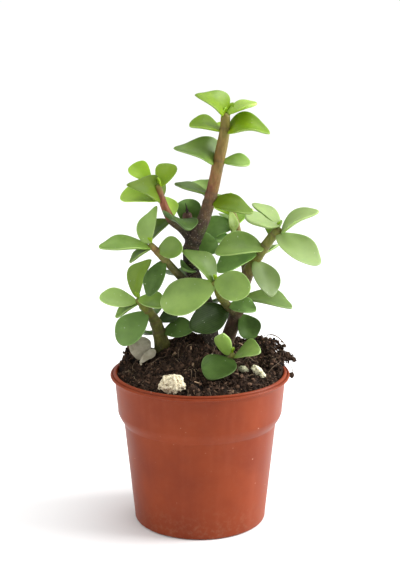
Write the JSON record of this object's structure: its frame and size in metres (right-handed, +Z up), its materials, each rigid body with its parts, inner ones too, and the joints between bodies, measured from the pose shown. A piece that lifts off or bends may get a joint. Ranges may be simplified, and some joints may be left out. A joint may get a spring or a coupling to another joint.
{
  "type": "potted jade plant",
  "caption": "Young succulent shrub with branching stems and opposite fleshy leaves, rooted in a mound of potting mix in a thin tapered nursery pot with a rolled rim.",
  "frame": {"origin": "centre of the pot's flat foot, on the surface it stands on", "axes": "+Z up along the pot's axis, -Y towards the plant's front, +X to the right when seen from the front"},
  "size_m": [0.1021, 0.084, 0.2032],
  "materials": {
    "pot_plastic": "thin moulded terracotta-coloured plastic, satin, faintly dusty",
    "soil": "dark crumbly peat-based potting mix with root fibres and bark",
    "stem": "smooth fleshy stem skin, brown-red to olive, with ring scars at the nodes",
    "young_leaf": "bright yellow-green fleshy leaf with a waxy sheen",
    "mature_leaf": "mid-green fleshy leaf with a thin pale bloom and lighter margins",
    "old_leaf": "deep green fleshy leaf, satin, finely lined",
    "perlite": "chalky off-white porous lump",
    "dry_leaf": "papery grey-tan fallen leaf"
  },
  "bodies": {
    "root": {"pot": "pot_plastic", "soil": "soil", "centre_stem": "stem", "right_stem": "stem", "left_stem": "stem", "low_stem": "stem", "leader_leaf_1a": "young_leaf", "leader_leaf_1b": "young_leaf", "leader_leaf_2a": "young_leaf", "leader_leaf_2b": "young_leaf", "leader_leaf_3a": "mature_leaf", "leader_leaf_3b": "mature_leaf", "leader_leaf_4a": "mature_leaf", "leader_leaf_4b": "young_leaf", "leader_leaf_5a": "old_leaf", "leader_leaf_6a": "old_leaf", "red_leaf_1a": "young_leaf", "red_leaf_1b": "young_leaf", "red_leaf_2a": "young_leaf", "red_leaf_2b": "young_leaf", "red_leaf_3a": "mature_leaf", "red_leaf_3c": "young_leaf", "red_leaf_3b": "old_leaf", "stub_leaf_1a": "old_leaf", "mid_leaf_1a": "mature_leaf", "mid_leaf_1b": "mature_leaf", "mid_leaf_2a": "mature_leaf", "mid_leaf_2b": "mature_leaf", "mid_leaf_3a": "old_leaf", "left_leaf_1a": "mature_leaf", "left_leaf_1b": "young_leaf", "left_leaf_2a": "mature_leaf", "left_leaf_2b": "mature_leaf", "left_leaf_3a": "old_leaf", "left_leaf_3b": "old_leaf", "left_leaf_4a": "old_leaf", "right_leaf_1a": "mature_leaf", "right_leaf_1b": "mature_leaf", "right_leaf_2a": "mature_leaf", "right_leaf_2b": "mature_leaf", "right_leaf_3a": "mature_leaf", "right_leaf_3b": "old_leaf", "right_leaf_4a": "mature_leaf", "right_leaf_5a": "mature_leaf", "right_leaf_6a": "old_leaf", "front_leaf_1a": "mature_leaf", "front_leaf_1b": "mature_leaf", "front_leaf_2a": "mature_leaf", "front_leaf_3a": "old_leaf", "front_leaf_3b": "old_leaf", "back_leaf_1a": "young_leaf", "back_leaf_1b": "young_leaf", "back_leaf_2a": "mature_leaf", "back_leaf_2b": "old_leaf", "back_leaf_3a": "old_leaf", "low_leaf_1a": "mature_leaf", "low_leaf_1b": "mature_leaf", "low_leaf_2a": "old_leaf", "perlite_large": "perlite", "dry_leaf": "dry_leaf"}
  },
  "joints": []
}
